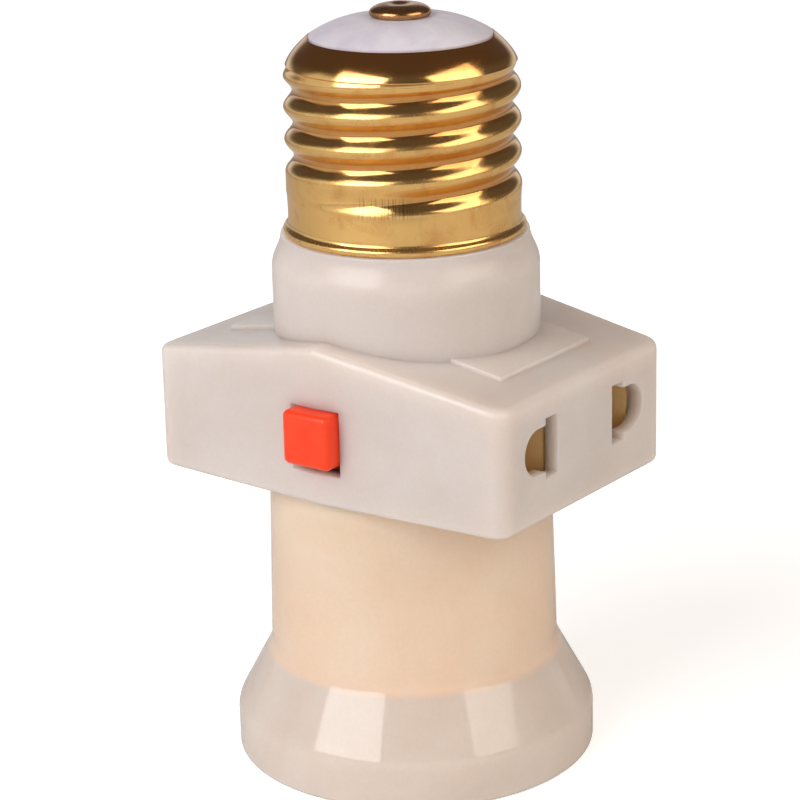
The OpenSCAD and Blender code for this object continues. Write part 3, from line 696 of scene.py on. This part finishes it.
def makeHousing():
    h = housing
    half, endTop, midTop = h["length"] / 2, h["endTop"] - h["wall"], h["midTop"] - h["wall"]
    shell = makeBoxBlank()
    stem = filleted([(h["spigot"], screwBase["seat"]), (h["spigot"], h["spigotTop"]),
                     (h["stem"], h["stemFrom"]), (h["stem"], h["stemTop"]), (0, h["stemTop"])], 2)
    neck = revolved("neckCore", [(0, h["neckFoot"]), (h["neck"], h["neckFoot"])] + neckShoulder() + stem,
                    h["neckSteps"], closed=False)
    combine(shell, [neck, roofPad(-1), roofPad(1)], "UNION")
    hollow = prism("hollow", hollowPlan(), h["low"] - 1, 60)
    underRoof = [(-half, 30), (half, 30), (half, endTop), (0, midTop), (-half, endTop)]
    combine(hollow, [prism("underRoof", underRoof, -20, 20, "y")], "INTERSECT")
    core = revolved("neckHollow", [(0, h["neckFoot"]), (h["bore"], h["neckFoot"]), (h["bore"], h["boreTop"]),
                                   (h["stemBore"], h["stemBoreFrom"]), (h["stemBore"], h["stemTop"] + 1),
                                   (0, h["stemTop"] + 1)], h["boreSteps"], closed=False)
    window = block("window", (-h["windowX"], h["windowY"][0], h["windowLow"]),
                   (h["windowX"], h["windowY"][1], h["windowHigh"]))
    holes = [pinHole(side, hand) for side in (-1, 1) for hand in (-1, 1)]
    combine(shell, [hollow, core, window] + holes, "DIFFERENCE")
    roundEdges(shell, h["smallEdge"], 3)
    finishPiece(shell, "milkyPlastic", "milky_plastic", "holder", "upper_housing")


makeHousing()
print("upper housing made")


# Lower moulding: flared mouth, tube and the plate that closes the box

mouth = {
    "rim": 20.75, "rimRound": 0.6, "band": 5.2, "bandRound": 3, "flareTop": 12.9, "flareRound": 4,
    "tube": 16.6, "tubeTop": 16.1, "stepIn": 0.6, "stepUp": 0.5, "bore": 14.95, "wall": 1.9, "lip": 11.3,
    "steps": 180, "plateGap": 0.1, "plateThick": 1.8, "smallEdge": 0.1,
    "screwX": 19.2, "screwBore": 1.45, "headBore": 2.6, "headTop": 34.8,
}


def makeSocketBody():
    m, low = mouth, housing["low"]
    inner, step = m["rim"] - m["wall"], m["tubeTop"] - m["stepIn"]
    profile = filleted([
        (m["rim"], 0, m["rimRound"]), (m["rim"], m["band"], m["bandRound"]),
        (m["tube"], m["flareTop"], m["flareRound"]), (m["tubeTop"], low), (step, low),
        (step, low + m["stepUp"]), (m["bore"], low + m["stepUp"]), (m["bore"], m["lip"], 0.3),
        (inner, m["band"] - 0.6, 1), (inner, 0, 0.5)], 8)
    body = revolved("socketMoulding", profile, m["steps"])
    combine(body, [prism("plate", hollowPlan(m["plateGap"]), low, low + m["plateThick"])], "UNION")
    bore = [(0, 33), (m["headBore"], 33), (m["headBore"], m["headTop"]), (m["screwBore"], m["headTop"]),
            (m["screwBore"], 37), (0, 37)]
    holes = [revolved("counterbore", bore, 48, closed=False, at=(side * m["screwX"], 0)) for side in (-1, 1)]
    combine(body, holes, "DIFFERENCE")
    roundEdges(body, m["smallEdge"], 2, angle=50)
    finishPiece(body, "creamPlastic", "cream_plastic", "holder", "socket_body")


lampShell = {"lip": 11.4, "mean": 13.1, "depth": 0.5, "sheet": 0.4, "threadFrom": 1.2, "threadEnd": 1.6,
             "fade": 1.4, "rowsPerPitch": 14, "firstGroove": 2, "flange": 14.8, "hole": 8, "steps": 160}


def makeSocketShell():  # a flanged lip below, the thread, and a turned-in end under the plate
    s, base = lampShell, housing["low"]
    lip, mean, out, hole, sheet = s["lip"], s["mean"], s["flange"], s["hole"], s["sheet"]
    rows = threadRows(mean, s["depth"], lip + s["threadFrom"], base - s["threadEnd"],
                      thread["pitch"] / s["rowsPerPitch"], s["fade"])
    inner = [(r - sheet, z, d) for r, z, d in rows]
    flange = [(out, lip), (out + 0.05, lip + 0.2), (out, lip + 0.4), (14.2, lip + 0.5),
              (mean + 0.7, lip + 0.7)]
    end = [(mean - 0.1, base - 0.7), (mean - 0.3, base - 0.25), (mean - 0.6, base), (hole, base),
           (hole, base - sheet), (mean - 0.8, base - sheet), (mean - 0.55, base - 0.65),
           (mean - 0.5, base - 1)]
    under = [(mean + 0.3, lip + 0.3), (mean + 0.7, lip + 0.05), (14.2, lip)]
    profile = unthreaded(flange) + rows + unthreaded(end) + inner[::-1] + unthreaded(under)
    shell = threadedShell("lampShell", profile, s["steps"], lip, lip + s["firstGroove"])
    finishPiece(shell, "innerBrass", "brass", "holder", "socket_shell")


makeSocketBody()
makeSocketShell()
print("lower moulding made")


# Slide knob with its flange, in one piece

knob = {
    "width": 6.3, "height": 6.2, "low": 38.7, "front": -19.4, "round": 0.75, "roundSteps": 6, "stemY": -13,
    "flangeY": -15.25, "flangeThick": 1.45, "flangeOut": 1.6, "flangeDown": 1.5, "flangeUp": 7.8,
    "flangeRound": 0.2, "bridgeUp": 4.3, "rearHalf": 2.4, "rearY": (-14.05, -12.6),
    "pocketX": 3.95, "pocketHalf": 1.75, "pocketY": -12,
}


def makeKnob():
    k = knob
    x, out, low = k["width"] / 2, k["width"] / 2 + k["flangeOut"], k["low"]
    front = block("switchSlider", (-x, k["front"], low), (x, k["stemY"], low + k["height"]))
    roundEdges(front, k["round"], k["roundSteps"])
    flangeBack = k["flangeY"] + k["flangeThick"]
    flange = block("flange", (-out, k["flangeY"], low - k["flangeDown"]),
                   (out, flangeBack, low + k["flangeUp"]))
    roundEdges(flange, k["flangeRound"], 2)
    middle = low + k["bridgeUp"]
    rear = block("rear", (-out, k["rearY"][0], middle - k["rearHalf"]),
                 (out, k["rearY"][1], middle + k["rearHalf"]))
    combine(front, [flange, rear], "UNION")
    pocket = block("pocket", (-k["pocketX"], flangeBack, middle - k["pocketHalf"]),
                   (k["pocketX"], k["pocketY"], middle + k["pocketHalf"]))
    combine(front, [pocket], "DIFFERENCE")
    finishPiece(front, "knobPlastic", "knob_plastic", "slider", "switch_knob")


makeKnob()

# The parts of the CAD that stay as they are
innerParts = {
    "stripBrass": ["live_lead", "neutral_strap", "contact_bridge", "feed_contact", "lamp_contact", "live_bus",
                   "neutral_bus", "centre_tongue"],
    "platedSteel": ["housing_screws", "knob_spring", "tongue_rivet", "shell_rivets"],
    "pressedBoard": ["switch_board"],
}
for finish, nodeNames in innerParts.items():
    for nodeName in nodeNames:
        dress(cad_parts[nodeName], finish)
print("switch and inner parts dressed")


# Floor, light and camera

studio = {
    "azimuth": 36.71, "elevation": 17.99, "roll": -1.4, "distance": 319.53, "across": -1.04, "height": 41.24,
    "pixelLens": 2812.4, "frame": 800, "sensor": 36,
    "pale": (0.8, 0.8, 0.81, 1), "dark": (0.12, 0.1, 0.09, 1), "horizonFade": 0.09, "frontDark": (0.98, 0.87),
    "floorReach": 3000, "floorZ": -0.00002, "whiter": 0.55, "whiterFrom": 0.15, "whiteFrom": 1.2,
}

# how high the pale table and walls reach, as the sine of a height, by the turn from the camera's own side
horizon = [(-180, 0.12), (-125, 0.12), (-100, 0.5), (-50, 0.62), (-25, 0.42), (0, 0.36), (40, 0.25),
           (75, 0.12), (180, 0.12)]

softboxes = [  # turn from the camera, height, width and tallness at one metre, power, colour
    {"turn": -48, "height": 36, "wide": 0.77, "tall": 0.62, "power": 6.4, "colour": (1, 0.99, 0.99)},
    {"turn": 63, "height": 36, "wide": 0.84, "tall": 0.62, "power": 4.4, "colour": (1, 0.91, 0.8)},
]


def lookVector(azimuth, elevation):
    a, e = math.radians(azimuth), math.radians(elevation)
    return Vector((math.sin(a) * math.cos(e), -math.cos(a) * math.cos(e), math.sin(e)))


def makeFloor():  # seen by the camera it glows a little near the part, and is plain white far off
    s, reach = studio, studio["floorReach"]
    corners = [(-reach, -reach, 0), (reach, -reach, 0), (reach, reach, 0), (-reach, reach, 0)]
    floor = newPiece("studioFloor", corners, [(0, 1, 2, 3)])
    floor.location.z = s["floorZ"]
    material, tree, shader = newMaterial("paleFloor", Roughness=0.7)
    grain = addNode(tree, "TexNoise", -3, 0, Scale=60, Detail=3).outputs["Fac"]
    colour = mixColour(tree, 0, 0, shade(247, 247, 247), shade(250, 250, 249), grain)
    give(tree, shader.inputs["Base Color"], colour)
    seen = addNode(tree, "LightPath", 0, -2).outputs["Is Camera Ray"]
    place = addNode(tree, "TexCoord", -2, -4).outputs["Object"]
    away = addNode(tree, "VectorMath", -1, -4, operation="LENGTH", Vector=place).outputs["Value"]
    white = mapped(tree, away, 0, -4, s["whiterFrom"], s["whiteFrom"], s["whiter"], 1)
    glow = addNode(tree, "Emission", 3, -2, Strength=calculate(tree, 2, -2, "MULTIPLY", seen, white))
    both = addNode(tree, "AddShader", 7, -1)
    give(tree, both.inputs[0], shader.outputs[0])
    give(tree, both.inputs[1], glow.outputs[0])
    give(tree, tree.nodes["Material Output"].inputs["Surface"], both.outputs[0])
    floor.data.materials.append(material)


def facing(tree, x, y, ray, direction):  # how far a ray points along a direction, from -1 to 1
    node = addNode(tree, "VectorMath", x, y, operation="DOT_PRODUCT")
    give(tree, node.inputs[0], ray)
    give(tree, node.inputs[1], direction)
    return node.outputs["Value"]


def makeWorld():  # a dark room above the horizon and in front, pale elsewhere, and white to the camera
    s = studio
    world = bpy.data.worlds.new("studioWorld")
    bpy.context.scene.world = world
    world.use_nodes = True
    tree = world.node_tree
    ray = addNode(tree, "TexCoord", -6, 0).outputs["Generated"]
    rise = addNode(tree, "SeparateXYZ", -5, 0, Vector=ray).outputs["Z"]
    behind = facing(tree, -5, -2, ray, -lookVector(s["azimuth"], 0))
    across = facing(tree, -5, -4, ray, lookVector(s["azimuth"] + 90, 0))
    turn = calculate(tree, -4, -4, "ARCTAN2", across, calculate(tree, -4, -3, "MULTIPLY", behind, -1))
    reach = addNode(tree, "ValToRGB", -3, -4, Fac=mapped(tree, turn, -4, -5, -math.pi, math.pi))
    stops = reach.color_ramp.elements
    stops.remove(stops[1])
    for k, (degrees, height) in enumerate(horizon):
        place = (degrees + 180) / 360
        stop = stops.new(place) if k else stops[0]
        stop.position, stop.color = place, (height, height, height, 1)
    above = calculate(tree, -3, 1, "SUBTRACT", rise, reach.outputs["Color"])
    high = mapped(tree, above, -3, 0, -s["horizonFade"], s["horizonFade"], kind="SMOOTHSTEP")
    front = mapped(tree, behind, -4, -2, *s["frontDark"], kind="SMOOTHSTEP")
    dark = calculate(tree, -3, -1, "MULTIPLY", high, front)
    room = mixColour(tree, -2, 0, s["pale"], s["dark"], dark)
    seen = addNode(tree, "LightPath", -4, 2).outputs["Is Camera Ray"]
    give(tree, tree.nodes["Background"].inputs["Color"], mixColour(tree, -1, 0, room, (1, 1, 1, 1), seen))
    tree.nodes["Background"].inputs["Strength"].default_value = 1.0


def makeSoftboxes():
    middle = Vector((0, 0, studio["height"] * mm))
    for box in softboxes:
        data = bpy.data.lights.new("softbox", "AREA")
        data.shape, data.size, data.size_y = "RECTANGLE", box["wide"], box["tall"]
        data.energy, data.color = box["power"], box["colour"]
        lamp = bpy.data.objects.new("softbox", data)
        bpy.context.scene.collection.objects.link(lamp)
        away = lookVector(studio["azimuth"] + box["turn"], box["height"])
        lamp.location = middle + away
        lamp.rotation_euler = away.to_track_quat("Z", "Y").to_euler()


def makeCamera():
    s = studio
    data = bpy.data.cameras.new("camera")
    data.sensor_width = s["sensor"]
    data.lens = s["sensor"] * s["pixelLens"] / s["frame"]
    data.clip_start, data.clip_end = 0.01, 20
    camera = bpy.data.objects.new("camera", data)
    bpy.context.scene.collection.objects.link(camera)
    back = lookVector(s["azimuth"], s["elevation"])
    right = lookVector(s["azimuth"] + 90, 0)
    up = back.cross(right)
    roll = math.radians(s["roll"])
    across = right * math.cos(roll) + up * math.sin(roll)
    upward = up * math.cos(roll) - right * math.sin(roll)
    place = (right * s["across"] + Vector((0, 0, s["height"])) + back * s["distance"]) * mm
    camera.matrix_world = Matrix((across, upward, back)).transposed().to_4x4()
    camera.location = place
    bpy.context.scene.camera = camera


makeFloor()
makeWorld()
makeSoftboxes()
makeCamera()
bpy.context.scene.view_settings.view_transform = "Standard"
print("studio made")
